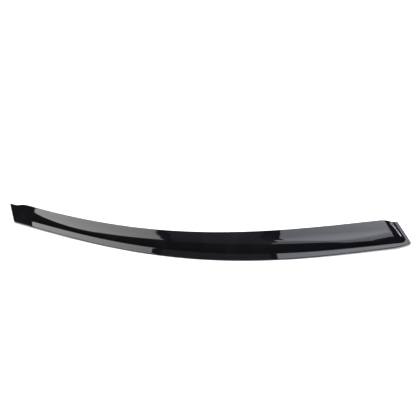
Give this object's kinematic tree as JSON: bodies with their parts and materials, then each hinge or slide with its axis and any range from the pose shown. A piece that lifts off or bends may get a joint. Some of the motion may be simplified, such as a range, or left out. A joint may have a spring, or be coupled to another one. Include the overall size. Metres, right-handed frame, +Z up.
{
  "type": "window rain deflector",
  "caption": "Long arched smoked-plastic visor with a stick-on flange, a raised blade and closed ends, fixed above a car's front side window to shed rain.",
  "frame": {"origin": "middle of the box around the part, on the surface that it lies on", "axes": "+X along the part to its wide closed end, which is the rear of the door; +Y across it from the flange to the free edge of the blade; +Z up, out of the door"},
  "size_m": [0.9254, 0.1406, 0.015],
  "materials": {
    "smoked_acrylic": "dark smoked acrylic, polished, with a mirror-like outer skin"
  },
  "bodies": {
    "root": {"deflector_sheet": "smoked_acrylic"}
  },
  "joints": []
}
